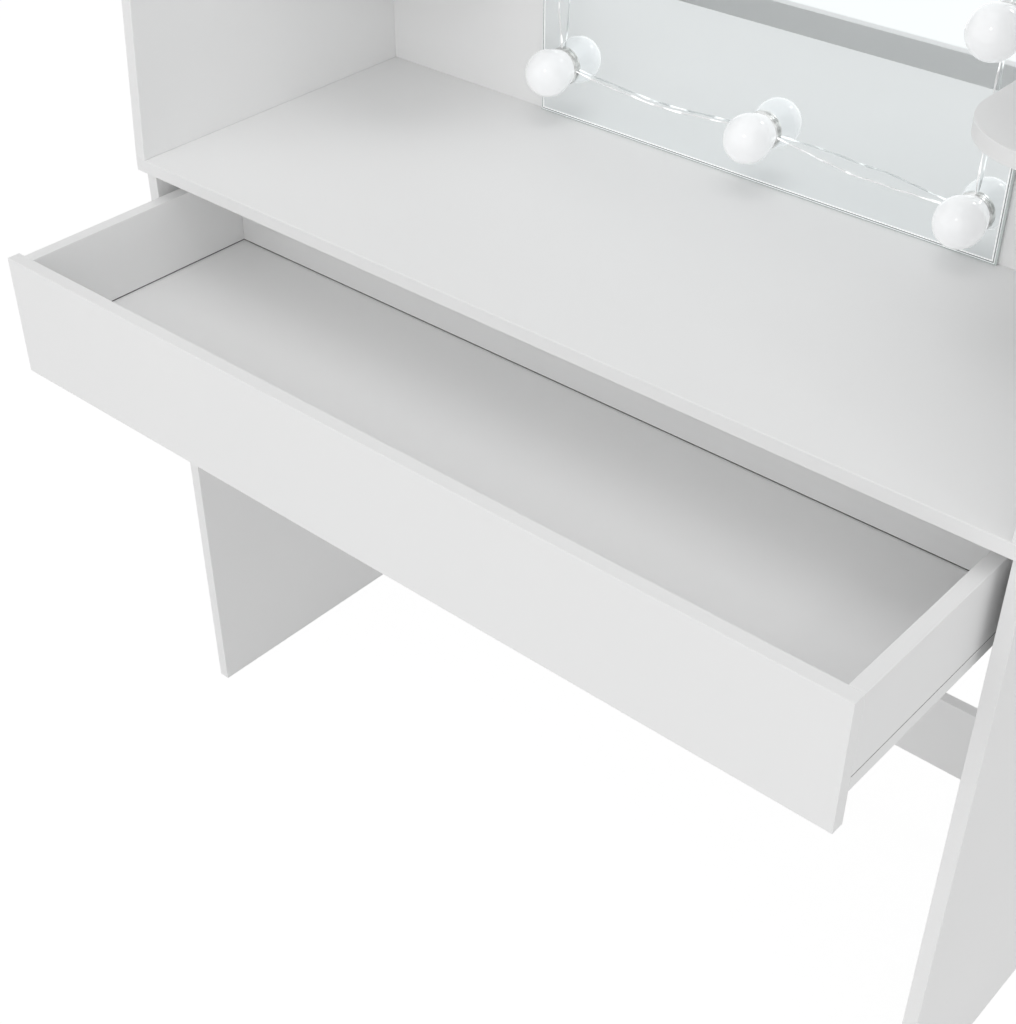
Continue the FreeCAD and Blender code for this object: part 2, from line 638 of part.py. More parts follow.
def check_and_write():
    """Stop at any failed feature or bad shape, then write one file for each piece."""
    doc.recompute()
    for item in doc.Objects:
        if {"Invalid", "Error"} & set(item.State):
            raise RuntimeError(f"{item.Name} failed: {item.State}")
    for node in nodes:
        if node.Shape.isNull() or not node.Shape.isValid():
            raise RuntimeError(f"{node.Label} has no valid shape")
    os.makedirs("parts", exist_ok=True)
    for node in nodes:
        node.Shape.exportStep(f"parts/{node.Label}.step")
    print(len(nodes), "pieces written")


nodes = []
fill_sheet()
upper_sides, back_board = carcass()
shelves(upper_sides, back_board)
mirror()
lamps()
wires()
runners(drawer())
finish_groups()
check_and_write()
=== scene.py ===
# %% [markdown]
# # A white dressing table with a lit mirror
# The table is flat-pack furniture: coated boards, one wide drawer on roller runners, a mirror with round
# lamps, and small shelves beside it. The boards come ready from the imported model, exact to the millimetre.
# What is left for Blender is what the eye reads as real: finishes, the lamps, the wire and the light.

import json
import math

import bmesh
import bpy
from mathutils import Euler, Matrix, Vector


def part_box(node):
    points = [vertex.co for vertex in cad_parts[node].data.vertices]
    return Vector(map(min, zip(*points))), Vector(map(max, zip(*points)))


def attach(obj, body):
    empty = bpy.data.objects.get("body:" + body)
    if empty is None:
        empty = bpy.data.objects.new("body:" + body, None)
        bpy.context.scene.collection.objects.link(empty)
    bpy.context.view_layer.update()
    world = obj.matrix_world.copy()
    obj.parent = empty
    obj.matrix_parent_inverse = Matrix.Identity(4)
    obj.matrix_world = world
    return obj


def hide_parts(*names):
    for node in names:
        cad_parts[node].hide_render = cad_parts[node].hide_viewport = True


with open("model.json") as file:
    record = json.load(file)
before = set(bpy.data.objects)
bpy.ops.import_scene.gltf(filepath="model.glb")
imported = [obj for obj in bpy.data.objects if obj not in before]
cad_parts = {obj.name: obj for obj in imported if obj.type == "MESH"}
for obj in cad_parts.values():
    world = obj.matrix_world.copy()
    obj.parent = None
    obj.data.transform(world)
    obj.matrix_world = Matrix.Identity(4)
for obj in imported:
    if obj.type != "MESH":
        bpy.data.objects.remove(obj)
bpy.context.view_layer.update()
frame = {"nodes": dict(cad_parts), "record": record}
packed = frame["nodes"]
scene = bpy.context.scene
scene.view_settings.view_transform = "Standard"

# %% [markdown]
# ## The camera
# The picture looks down on the open drawer from the sitter's right. Its place was worked out from the
# boards' edges, so the camera gets those numbers as they are. The picture is a crop of a wider one, so the
# lens is shifted a little: a shift moves the crop without turning the camera.

# %% Camera
CAMERA_PLACE = Vector((0.9029, -1.1235, 1.5605))
CAMERA_TURN = Euler((math.radians(51.642), math.radians(0.621), math.radians(41.996)))
SENSOR_HEIGHT = 36.0
LENS = 58.108
SHIFT_ACROSS = 0.0243
SHIFT_UP = 0.0505


def put_in_scene(name, data):
    """An object made of some data, such as a mesh, a lamp or a camera, and linked to the scene."""
    made = bpy.data.objects.new(name, data)
    scene.collection.objects.link(made)
    return made


view = bpy.data.cameras.new("photo_view")
view.sensor_fit = "VERTICAL"
view.sensor_height = SENSOR_HEIGHT
view.lens = LENS
view.shift_x = SHIFT_ACROSS
view.shift_y = SHIFT_UP
camera = put_in_scene("photo_view", view)
camera.matrix_world = Matrix.LocRotScale(CAMERA_PLACE, CAMERA_TURN, None)
scene.camera = camera
print("lens", round(LENS, 1), "mm, looking from", [round(v, 2) for v in CAMERA_PLACE])

# %% [markdown]
# ## Helpers for node trees
# Materials, the sky and Geometry Nodes are all node trees, so a few small functions serve them all. One adds
# a node, sets its options, and fills each input with a number or with a link from another node. The others
# wrap the nodes that come back again and again. The trees could be drawn by hand, but code can be read.

# %% Node helpers
def fill(tree, node, inputs):
    """Give each named input of a node a fixed value, or a link from another node."""
    for name, value in inputs.items():
        if isinstance(value, bpy.types.NodeSocket):
            tree.links.new(value, node.inputs[name])
        else:
            node.inputs[name].default_value = value


def add(tree, kind, inputs=None, **options):
    """Add a node to a tree, set its options and fill its inputs."""
    made = tree.nodes.new(kind)
    for name, value in options.items():
        setattr(made, name, value)
    fill(tree, made, inputs or {})
    return made


def maths(tree, operation, first, second, clamped=False):
    """Add, subtract or multiply two values."""
    made = add(tree, "ShaderNodeMath", {0: first, 1: second}, operation=operation, use_clamp=clamped)
    return made.outputs[0]


def between(tree, value, low, high, start=0.0, end=1.0):
    """Change a value that runs from start to end into one that runs from low to high."""
    made = add(tree, "ShaderNodeMapRange",
               {"Value": value, "From Min": start, "From Max": end, "To Min": low, "To Max": high})
    return made.outputs["Result"]


print("node helpers:", ", ".join(helper.__name__ for helper in (fill, add, maths, between)))

# %% [markdown]
# ## The studio
# Product pictures of white furniture stand on a white floor under very even light: the sky does most of the
# work and the corners darken by themselves. More lamps could whiten the floor, but they would wash out the
# table too. So the floor is white only to the camera and in the mirror, and keeps a share of its real
# shading, so that the table still throws a faint shadow where it stands.

# %% Floor
FLOOR_RADIUS = 14.0
FLOOR_SIDES = 96
FLOOR_GREY = 0.88
FLOOR_WHITE_SHARE = 0.86
FLOOR_WHITE = 1.08


def new_finish(name):
    """A new material, its node tree and its main shader."""
    finish = bpy.data.materials.new(name)
    finish.use_nodes = True
    return finish, finish.node_tree, finish.node_tree.nodes["Principled BSDF"]


def seen_directly(tree):
    """1 where the camera, a mirror or clear plastic shows a thing, 0 where it only lights others."""
    rays = add(tree, "ShaderNodeLightPath").outputs
    seen = maths(tree, "ADD", rays["Is Camera Ray"], rays["Is Glossy Ray"])
    return maths(tree, "ADD", seen, rays["Is Transmission Ray"], clamped=True)


bpy.ops.mesh.primitive_circle_add(vertices=FLOOR_SIDES, radius=FLOOR_RADIUS, fill_type="NGON")
floor = bpy.context.object
floor.name = "studio_floor"
paper, tree, skin = new_finish("studio_paper")
fill(tree, skin, {
    "Base Color": (FLOOR_GREY, FLOOR_GREY, FLOOR_GREY, 1.0), "Roughness": 0.9, "Specular IOR Level": 0.0})
share = maths(tree, "MULTIPLY", seen_directly(tree), FLOOR_WHITE_SHARE)
white = add(tree, "ShaderNodeEmission", {"Strength": FLOOR_WHITE})
both = add(tree, "ShaderNodeMixShader", {0: share, 1: skin.outputs[0], 2: white.outputs[0]})
fill(tree, tree.nodes["Material Output"], {"Surface": both.outputs[0]})
floor.data.materials.append(paper)
print("floor", FLOOR_RADIUS * 2, "m across")

# %% [markdown]
# ### The sky
# Under an even sky all faces of a white box look alike. A picture of a room could light it, but brings in its
# own colours and reflections. So the strength of a plain sky follows the direction: it is brightest in front
# of the table, less so to the right and overhead, as in a room with a window wall behind the camera. The
# camera and the mirror see plain white instead, as they would see a backdrop.

# %% Sky
SKY_EVEN = 0.25
SKY_TOP = 0.175
SKY_FRONT = 0.82
SKY_RIGHT = 0.33
WHITE = (1.0, 1.0, 1.0, 1.0)

sky = bpy.data.worlds.new("studio_sky")
sky.use_nodes = True
scene.world = sky
tree = sky.node_tree
ray = add(tree, "ShaderNodeTexCoord").outputs["Generated"]
direction = add(tree, "ShaderNodeSeparateXYZ", {0: ray}).outputs
above = between(tree, direction["Z"], SKY_EVEN, SKY_EVEN + SKY_TOP)
beside = between(tree, direction["X"], 0.0, SKY_RIGHT)
ahead = between(tree, direction["Y"], 0.0, SKY_FRONT, end=-1.0)
lit = tree.nodes["Background"]
fill(tree, lit, {"Color": WHITE, "Strength": maths(tree, "ADD", maths(tree, "ADD", above, beside), ahead)})
plain = add(tree, "ShaderNodeBackground", {"Color": WHITE, "Strength": 1.0})
both = add(tree, "ShaderNodeMixShader", {0: seen_directly(tree), 1: lit.outputs[0], 2: plain.outputs[0]})
fill(tree, tree.nodes["World Output"], {"Surface": both.outputs[0]})
print("sky", SKY_EVEN, "all round, and", SKY_FRONT, "more from the front")

# %% [markdown]
# ### The lamps of the studio
# One wide softbox hangs over the desktop and a weaker one fills the front. They are wide because a wide lamp
# has soft shadows, and reflections leave them out, so that the mirror stays plain. Two small lamps above the
# camera, to its left and right, are there for the bright dots on the globes, so reflections show them.

# %% Softboxes and glints
TABLE_MIDDLE = Vector((0.1, 0.2, 0.9))


def softbox(name, place, size, power, mirrored):
    """A square lamp that points at the table and is seen in reflections or not."""
    data = bpy.data.lights.new(name, "AREA")
    data.size = size
    data.energy = power
    lamp = put_in_scene(name, data)
    toward = (TABLE_MIDDLE - Vector(place)).to_track_quat("-Z", "Y")
    lamp.matrix_world = Matrix.LocRotScale(Vector(place), toward, None)
    lamp.visible_glossy = mirrored


softbox("front_softbox", (0.2, -3.6, 1.7), size=1.8, power=5.4, mirrored=False)
softbox("desk_softbox", (0.1, 0.0, 4.6), size=2.4, power=24.0, mirrored=False)
softbox("left_glint", (0.55, -2.23, 2.58), size=0.34, power=2.6, mirrored=True)
softbox("right_glint", (2.53, -0.76, 2.33), size=0.34, power=2.6, mirrored=True)

# %% [markdown]
# ## White coated board
# Flat-pack boards are chipboard under a melamine skin. The skin isn't smooth: it is pressed with a very fine
# pearl, which spreads a reflection to a satin gleam. A picture of a board would show its repeats on a metre
# of desktop, so noises make it all: one some tenths of a millimetre wide makes the pearl as bump, a wider one
# lets the gleam vary, and the widest drifts the white by a hair.

# %% Patterns on a piece
def noise(tree, scale, detail):
    """A cloudy pattern from 0 to 1 that is fixed to the piece."""
    place = add(tree, "ShaderNodeTexCoord").outputs["Object"]
    made = add(tree, "ShaderNodeTexNoise", {"Vector": place, "Scale": scale, "Detail": detail})
    return made.outputs["Fac"]


def ramp(tree, factor, stops):
    """A colour that follows a pattern, from two stops of position and colour."""
    made = add(tree, "ShaderNodeValToRGB", {"Fac": factor})
    for stop, (position, colour) in zip(made.color_ramp.elements, stops):
        stop.position = position
        stop.color = (*colour, 1.0)
    return made.outputs["Color"]


def bump(tree, height, strength, distance):
    """A relief that only the light feels."""
    made = add(tree, "ShaderNodeBump", {"Height": height, "Strength": strength, "Distance": distance})
    return made.outputs["Normal"]


print("patterns:", ", ".join(helper.__name__ for helper in (noise, ramp, bump)))

# %% Coated board finish
BOARD_GLEAM = (0.41, 0.50)
PEARL_DEPTH = 0.0002

white_board, tree, skin = new_finish("white_board")
drift = noise(tree, scale=2.4, detail=2.0)
patches = noise(tree, scale=38.0, detail=3.0)
pearl = noise(tree, scale=1500.0, detail=2.0)
fill(tree, skin, {
    "Base Color": ramp(tree, drift, [(0.3, (0.875, 0.877, 0.877)), (0.7, (0.890, 0.891, 0.889))]),
    "Roughness": between(tree, patches, *BOARD_GLEAM),
    "Normal": bump(tree, pearl, strength=0.10, distance=PEARL_DEPTH),
    "Specular IOR Level": 0.35})
print(white_board.name, "has", len(tree.nodes), "nodes")

# %% Dress the boards
slot_of = {part["node"]: part["material_slot"] for part in frame["record"]["subparts"]}


def dress(slot, finish):
    """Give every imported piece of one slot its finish."""
    nodes = [node for node in slot_of if slot_of[node] == slot]
    for node in nodes:
        packed[node].data.materials[0] = finish
    print(finish.name, "on", len(nodes), "pieces")


dress("white_board", white_board)

# %% [markdown]
# ## Runners, rollers, tape, dowels
# These are seen only from below or behind, or with the drawer out. They still get what the real ones have:
# powder paint with its orange peel on the runners, dull nylon on the rollers, open foam on the tape and
# straight beech grain on the dowels. All but the beech differ only in colour, gloss and the size of their
# grain, so one function makes them, and some finishes of the mirror, wire and screws later on, where it
# can also add a painted glow.

# %% Speckled finishes
SPECK_DEPTH = 0.0003


def speckled(name, colour, roughness, scale, relief, spread=0.04, metallic=0.0, painted_glow=0.0):
    """A finish whose colour and bump vary with one fine noise, and which may glow with painted light."""
    finish, tree, skin = new_finish(name)
    speck = noise(tree, scale, detail=3.0)
    low = [c * (1.0 - spread) for c in colour]
    high = [min(c * (1.0 + spread), 1.0) for c in colour]
    fill(tree, skin, {
        "Base Color": ramp(tree, speck, [(0.35, low), (0.65, high)]),
        "Normal": bump(tree, speck, relief, SPECK_DEPTH),
        "Roughness": roughness, "Metallic": metallic,
        "Emission Color": WHITE, "Emission Strength": painted_glow})
    return finish


dress("runner_paint",
      speckled("runner_paint", (0.76, 0.76, 0.75), roughness=0.38, scale=700.0, relief=0.08))
dress("roller_plastic",
      speckled("roller_nylon", (0.78, 0.78, 0.76), roughness=0.5, scale=900.0, relief=0.05))
dress("foam_tape",
      speckled("foam_tape", (0.80, 0.80, 0.79), roughness=0.95, scale=1600.0, relief=0.6))
dress("lamp_board",
      speckled("lamp_board", (0.82, 0.82, 0.76), roughness=0.6, scale=400.0, relief=0.05))

# %% Beech finish
beech, tree, skin = new_finish("beech_dowel")
place = add(tree, "ShaderNodeTexCoord").outputs["Object"]
fibres = add(tree, "ShaderNodeTexWave",
             {"Vector": place, "Scale": 260.0, "Distortion": 6.0, "Detail": 3.0}).outputs["Fac"]
fill(tree, skin, {
    "Base Color": ramp(tree, fibres, [(0.2, (0.50, 0.33, 0.18)), (0.8, (0.66, 0.47, 0.28))]),
    "Roughness": 0.7})
dress("dowel_wood", beech)

# %% [markdown]
# ## Joint lines of the drawer
# The drawer's sides and back stand on its bottom board. Their lower edges are sawn and have no band, so a
# fine dark line shows along each joint: the bare edge, darkened to near black by painted shade for the
# shadow in the joint. A imported mesh is never changed, but a copy of it may stand in for the board: the
# copy is cut across just above its foot, and the faces below the cut get the dark finish. A thin strip laid
# on the board would do too, but would stand proud of it.

# %% Copies that stand in for imported pieces
body_of = {node: body for body, nodes in frame["record"]["behaviour"]["bodies"].items() for node in nodes}
MERGE = 1e-6


def merged_copy(node, reach):
    """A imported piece's loose triangles as one shape, with corners closer than a reach joined."""
    shape = bmesh.new()
    shape.from_mesh(packed[node].data)
    bmesh.ops.remove_doubles(shape, verts=shape.verts, dist=reach)
    return shape


def as_mesh(name, shape, finishes=()):
    """Turn a finished shape into a mesh with its finishes."""
    mesh = bpy.data.meshes.new(name)
    shape.to_mesh(mesh)
    shape.free()
    for finish in finishes:
        mesh.materials.append(finish)
    return mesh


def set_down(name, mesh, nodes):
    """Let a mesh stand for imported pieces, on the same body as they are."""
    piece = put_in_scene(name, mesh)
    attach(piece, body_of[nodes[0]])
    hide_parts(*nodes)
    print(name, "has", len(mesh.polygons), "faces and rides on the", body_of[nodes[0]])


# %% Sawn lower edges, darkened with painted shade
FOOT = 0.0013

# Near black, darker than bare chipboard: the sawn edge plus painted shade along the joint.
sawn_edge_and_painted_shade = speckled("sawn_edge_and_painted_shade", (0.045, 0.042, 0.04),
                          roughness=0.9, scale=900.0, relief=0.4, spread=0.35)
for node in ("drawer_side_left", "drawer_side_right", "drawer_back"):
    cut_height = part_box(node)[0].z + FOOT
    shape = merged_copy(node, MERGE)
    bmesh.ops.bisect_plane(shape, geom=shape.verts[:] + shape.edges[:] + shape.faces[:], dist=MERGE,
                           plane_co=(0.0, 0.0, cut_height), plane_no=(0.0, 0.0, 1.0))
    for face in shape.faces:
        face.material_index = int(face.calc_center_median().z < cut_height)
    name = f"{node}_banded"
    set_down(name, as_mesh(name, shape, [white_board, sawn_edge_and_painted_shade]), [node])

# %% [markdown]
# ## The mirror
# A mirror is glass with silver behind it. What tells it from a plain grey panel is its border: a polished
# bevel and a pale margin of bare glass, then the dark line where the silver ends, then a bright line where
# the light that enters the bevel comes out again. That bright line is a painted highlight, a face that emits
# light, and the pale margin carries a faint painted glow. One metal shader can't do that, so the plate is
# built as rings of faces from its rear to its middle, and each ring has its own finish.

# %% Mirror finishes
silver, tree, skin = new_finish("silvered_glass")
haze = noise(tree, scale=6.0, detail=4.0)
fill(tree, skin, {
    "Base Color": ramp(tree, haze, [(0.3, (0.945, 0.980, 0.986)), (0.7, (0.955, 0.986, 0.992))]),
    "Roughness": between(tree, haze, 0.0, 0.03), "Metallic": 1.0})

mirror_finishes = {
    "silver": silver,
    "rear": speckled("mirror_rear_paint", (0.30, 0.31, 0.33), roughness=0.6, scale=300.0, relief=0.1),
    "edge": speckled("polished_glass_edge", (0.74, 0.80, 0.79),
                     roughness=0.12, scale=90.0, relief=0.02, metallic=0.4),
    # the pale margin of bare glass, lifted by a faint painted glow
    "pale": speckled("bare_glass_margin_with_painted_light", (0.88, 0.91, 0.91),
                     roughness=0.3, scale=300.0, relief=0.02, painted_glow=0.08),
    "dark": speckled("silver_end", (0.30, 0.32, 0.32),
                     roughness=0.5, scale=400.0, relief=0.05, spread=0.2),
    # the bright line is a painted highlight: a near-white face that emits light
    "bright": speckled("painted_bevel_highlight", (0.93, 0.95, 0.95),
                       roughness=0.2, scale=200.0, relief=0.02, painted_glow=0.26),
}
print("mirror finishes:", ", ".join(mirror_finishes))

# %% Mirror rings
MIRROR_BEVEL = 0.0015
PALE_LINE = 0.0011
DARK_LINE = 0.0011
BRIGHT_LINE = 0.0013

low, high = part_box("mirror")
front, rear = low.y, high.y
dark_inset = MIRROR_BEVEL + PALE_LINE
bright_inset = dark_inset + DARK_LINE
silver_inset = bright_inset + BRIGHT_LINE
rings = [
    (MIRROR_BEVEL, rear, "edge"),
    (0.0, rear - MIRROR_BEVEL, "edge"),
    (0.0, front + MIRROR_BEVEL, "edge"),
    (MIRROR_BEVEL, front, "pale"),
    (dark_inset, front, "dark"),
    (bright_inset, front, "bright"),
    (silver_inset, front, "silver"),
]
print("silver starts", round(silver_inset * 1000, 1), "mm from the edge of the glass")

# %% Mirror plate
finish_names = list(mirror_finishes)
shape = bmesh.new()
loops = []
for inset, y, _ in rings:
    left, right, foot, top = low.x + inset, high.x - inset, low.z + inset, high.z - inset
    corners = ((left, foot), (right, foot), (right, top), (left, top))
    loops.append([shape.verts.new((x, y, z)) for x, z in corners])
shape.faces.new(loops[0]).material_index = finish_names.index("rear")
for loop, next_loop, (_, _, finish) in zip(loops, loops[1:], rings):
    for i, j in ((0, 1), (1, 2), (2, 3), (3, 0)):
        face = shape.faces.new((loop[i], loop[j], next_loop[j], next_loop[i]))
        face.material_index = finish_names.index(finish)
shape.faces.new(loops[-1]).material_index = finish_names.index("silver")
bmesh.ops.recalc_face_normals(shape, faces=shape.faces)
set_down("mirror_plate", as_mesh("mirror_plate", shape, mirror_finishes.values()), ["mirror"])

# %% [markdown]
# ## Copies on points
# Lamps and screws repeat. Geometry Nodes suit that: a few points say where, a direction on each point says
# which way, and one tree sets a copy on every point. The copies are made real at the end and the result is
# kept as a plain mesh, so that the piece needs no modifier later.

# %% Growing a piece from a tree
def new_tree(name, inputs):
    """An empty Geometry Nodes tree with named inputs, what it is given and its output node."""
    tree = bpy.data.node_groups.new(name, "GeometryNodeTree")
    tree.interface.new_socket("Geometry", in_out="INPUT", socket_type="NodeSocketGeometry")
    for label, kind in inputs:
        tree.interface.new_socket(label, in_out="INPUT", socket_type=f"NodeSocket{kind}")
    tree.interface.new_socket("Geometry", in_out="OUTPUT", socket_type="NodeSocketGeometry")
    return tree, add(tree, "NodeGroupInput").outputs, add(tree, "NodeGroupOutput")


def grown(name, seed, tree, values, nodes):
    """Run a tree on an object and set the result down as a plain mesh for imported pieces."""
    growth = seed.modifiers.new(name, "NODES")
    growth.node_group = tree
    for item in tree.interface.items_tree:
        if item.in_out == "INPUT" and item.name in values:
            growth[item.identifier] = values[item.name]
    bpy.context.view_layer.update()
    evaluated = seed.evaluated_get(bpy.context.evaluated_depsgraph_get())
    mesh = bpy.data.meshes.new_from_object(evaluated)
    mesh.name = name
    seed.modifiers.remove(growth)
    bpy.data.objects.remove(seed)
    set_down(name, mesh, nodes)


print("tree helpers:", ", ".join(helper.__name__ for helper in (new_tree, grown)))

# %% A tree that sets copies on points
def points_object(name, places, facings):
    """A mesh of loose points that remember which way each one faces."""
    mesh = bpy.data.meshes.new(name)
    mesh.from_pydata([tuple(place) for place in places], [], [])
    facing = mesh.attributes.new("facing", "FLOAT_VECTOR", "POINT")
    for item, way in zip(facing.data, facings):
        item.vector = way
    return put_in_scene(name, mesh)


def set_on_points(tree, given, copy, result):
    """End a tree: a copy on every point, turned the way the point faces, made real and finished."""
    way = add(tree, "GeometryNodeInputNamedAttribute", {"Name": "facing"}, data_type="FLOAT_VECTOR")
    turn = add(tree, "FunctionNodeAlignRotationToVector", {"Vector": way.outputs["Attribute"]}, axis="Z")
    placed = add(tree, "GeometryNodeInstanceOnPoints",
                 {"Points": given["Geometry"], "Instance": copy, "Rotation": turn.outputs["Rotation"]})
    real = add(tree, "GeometryNodeRealizeInstances", {"Geometry": placed.outputs["Instances"]})
    dressed = add(tree, "GeometryNodeSetMaterial",
                  {"Geometry": real.outputs["Geometry"], "Material": given["Finish"]})
    fill(tree, result, {"Geometry": dressed.outputs["Geometry"]})
    print("the tree", tree.name, "has", len(tree.nodes), "nodes")


copies, given, result = new_tree("copies_on_points", [("Copy", "Object"), ("Finish", "Material")])
copied = add(copies, "GeometryNodeObjectInfo", {"Object": given["Copy"]})
set_on_points(copies, given, copied.outputs["Geometry"], result)

# %% [markdown]
# ## The lamps
# Each lamp is an opal globe on a silver collar. Both are turned shapes, so a profile of radius and height is
# spun round the lamp's axis. A ready-made sphere would lack the cone by which the globe meets its collar.
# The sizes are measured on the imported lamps, so that globe and collar fill the same space.

# %% Turned shapes
TURN_STEPS = 72
SHARP_ANGLE = math.radians(40.0)


def turned(name, profile):
    """Spin (radius, height) points round Z, from the foot to the top."""
    shape = bmesh.new()
    points = [shape.verts.new((radius, 0.0, height)) for radius, height in profile]
    edges = [shape.edges.new(pair) for pair in zip(points, points[1:])]
    bmesh.ops.spin(shape, geom=points + edges, axis=(0, 0, 1), cent=(0, 0, 0), steps=TURN_STEPS,
                   angle=math.tau, use_duplicate=False)
    bmesh.ops.remove_doubles(shape, verts=shape.verts, dist=MERGE)
    bmesh.ops.recalc_face_normals(shape, faces=shape.faces)
    for face in shape.faces:
        face.smooth = True
    mesh = as_mesh(name, shape)
    mesh.set_sharp_from_angle(angle=SHARP_ANGLE)
    return put_in_scene(name, mesh)


print("turned shapes take", TURN_STEPS, "steps round")

# %% Lamp sizes and places
NECK_STEP = 0.0005

dome_low, dome_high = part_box("lamp_dome_01")
base_low, base_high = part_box("lamp_base_01")
dome_radius = (dome_high.z - dome_low.z) / 2
dome_reach = base_high.y - (dome_low.y + dome_radius)
base_height = base_high.y - base_low.y
base_radius = (base_high.z - base_low.z) / 2
neck_radius = base_radius - NECK_STEP

lamp_numbers = [f"{n:02}" for n in range(1, 11)]
feet = []
for number in lamp_numbers:
    low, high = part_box(f"lamp_base_{number}")
    feet.append(Vector(((low.x + high.x) / 2, high.y, (low.z + high.z) / 2)))
towards_sitter = [(0.0, -1.0, 0.0)] * len(feet)
print(len(feet), "lamps, globe radius", round(dome_radius, 4), "and collar radius", round(base_radius, 4))

# %% [markdown]
# ### Opal and silver
# The globe is thin milky plastic: a glossy skin over a white that lets some light through, which is why it
# looks brighter than the boards although nothing is switched on. A real thin wall would be slow to render, so
# a coat makes the gloss and a little emission paints that light in as a glow over the whole globe. The collar
# is silvered plastic: a noise lets its tone and gloss vary, which breaks its reflection into dark and bright
# streaks.

# %% Lamp finishes
opal, tree, skin = new_finish("opal_globe")
milk = noise(tree, scale=30.0, detail=2.0)
fill(tree, skin, {
    # a grey that the painted glow of the emission below lifts to white
    "Base Color": ramp(tree, milk, [(0.3, (0.615, 0.628, 0.640)), (0.7, (0.630, 0.640, 0.650))]),
    "Roughness": 0.12,
    "Subsurface Weight": 0.25, "Subsurface Radius": (0.006, 0.006, 0.006),
    "Coat Weight": 1.0, "Coat Roughness": 0.02, "Coat IOR": 1.6,
    "Emission Color": WHITE, "Emission Strength": 0.37})

collar_silver, tree, skin = new_finish("silver_collar")
streaks = noise(tree, scale=160.0, detail=3.0)
fill(tree, skin, {
    "Base Color": ramp(tree, streaks, [(0.35, (0.52, 0.52, 0.51)), (0.60, (0.92, 0.92, 0.91))]),
    "Roughness": between(tree, streaks, 0.24, 0.42), "Metallic": 1.0})
print("lamp finishes:", opal.name, "and", collar_silver.name)

# %% Globes and collars
ARC_STEPS = 40
COLLAR_SHARES = (
    (0.0, 0.0), (0.96, 0.0), (1.0, 0.05), (1.0, 0.28), (0.955, 0.36), (0.955, 0.46),
    (1.0, 0.54), (1.0, 0.93), (0.985, 1.0), (0.0, 1.0),
)

# Seen from the globe's middle, the cone from the neck touches the globe this far round from the foot.
neck_height = dome_reach - base_height
touch = math.atan2(neck_radius, neck_height)
touch += math.acos(dome_radius / math.hypot(neck_height, neck_radius))
globe_profile = [(0.0, base_height), (neck_radius, base_height)]
for step in range(ARC_STEPS + 1):
    angle = touch - math.pi / 2 + (math.pi - touch) * step / ARC_STEPS
    globe_profile.append((dome_radius * math.cos(angle), dome_reach + dome_radius * math.sin(angle)))
collar_profile = [(r * base_radius, h * base_height) for r, h in COLLAR_SHARES]

for name, profile, finish, node in (
        ("lamp_globes", globe_profile, opal, "lamp_dome"),
        ("lamp_collars", collar_profile, collar_silver, "lamp_base")):
    pattern = turned(f"{name}_pattern", profile)
    points = points_object(f"{name}_points", feet, towards_sitter)
    grown(name, points, copies, {"Copy": pattern, "Finish": finish},
          [f"{node}_{number}" for number in lamp_numbers])
    bpy.data.objects.remove(pattern)

# %% [markdown]
# ## The wire
# One clear cable links the lamps: a flat transparent jacket over two tinned wires, turning slowly as it runs.
# Its flat side flashes wherever it faces the light, and more flashes are painted into its emission, so it
# reads as a row of bright dashes. It was folded in its box and hangs in lazy kinks instead of a clean curve.
# A bevelled curve could draw a plain round tube, but not a flat one with wires inside. So the route is a
# smooth spline from collar to collar, with the sag and the bow of the imported wire, and a tree grows the
# kinks, the turns and the jacket along it.

# %% Wire route
WIRE_LIFT = 0.003
WIRE_GAP = 0.0003
WIRE_SAG_AND_BOW = (
    (0.0, 0.005), (0.0, 0.004), (0.0, 0.003), (0.001, 0.011), (0.008, 0.002),
    (0.0, 0.006), (0.0, 0.005), (0.0, 0.006), (0.012, 0.004),
)
ROUTE_SHARES = (0.0, 0.25, 0.5, 0.75, 1.0)
ROUTE_STEPS = 12

route = bpy.data.curves.new("wire_route", "CURVE")
route.dimensions = "3D"
route.resolution_u = ROUTE_STEPS
for foot, next_foot, (sag, bow) in zip(feet, feet[1:], WIRE_SAG_AND_BOW):
    clear = (next_foot - foot).normalized() * (base_radius + WIRE_GAP)
    start, end = foot + clear, next_foot - clear
    spline = route.splines.new("NURBS")
    spline.points.add(len(ROUTE_SHARES) - 1)
    for point, share in zip(spline.points, ROUTE_SHARES):
        swell = 4 * share * (1 - share)
        spot = start.lerp(end, share) + Vector((0.0, -WIRE_LIFT - bow * swell, -sag * swell))
        point.co = (*spot, 1.0)
    spline.order_u = 3
    spline.use_endpoint_u = True
wire_seed = put_in_scene("wire_route", route)
print(len(route.splines), "runs of wire")

# %% [markdown]
# ### A tree for the cable
# The tree cuts the route into even steps and pushes each step aside by a noise, which fades to nothing at
# both ends, so that the wire still meets its collars. A tilt that grows with the length turns the cable. Then
# a squashed circle is drawn along the path for the jacket, and a small circle on either side of the middle
# for the two wires. Points set by hand could do it too, but the tree does all nine runs at once.

# %% A tree for a clear cable: its kinks and turns
PATH_POINTS = 90
KINK_SCALE = 24.0

cable, given, result = new_tree("clear_cable", [
    ("Jacket radius", "Float"), ("Flatness", "Float"), ("Core radius", "Float"), ("Core offset", "Float"),
    ("Turns per metre", "Float"), ("Kink", "Float"), ("Jacket", "Material"), ("Core", "Material")])


def scaled(tree, vector, factor):
    """Make a vector longer or shorter."""
    return add(tree, "ShaderNodeVectorMath", {0: vector, "Scale": factor}, operation="SCALE").outputs[0]


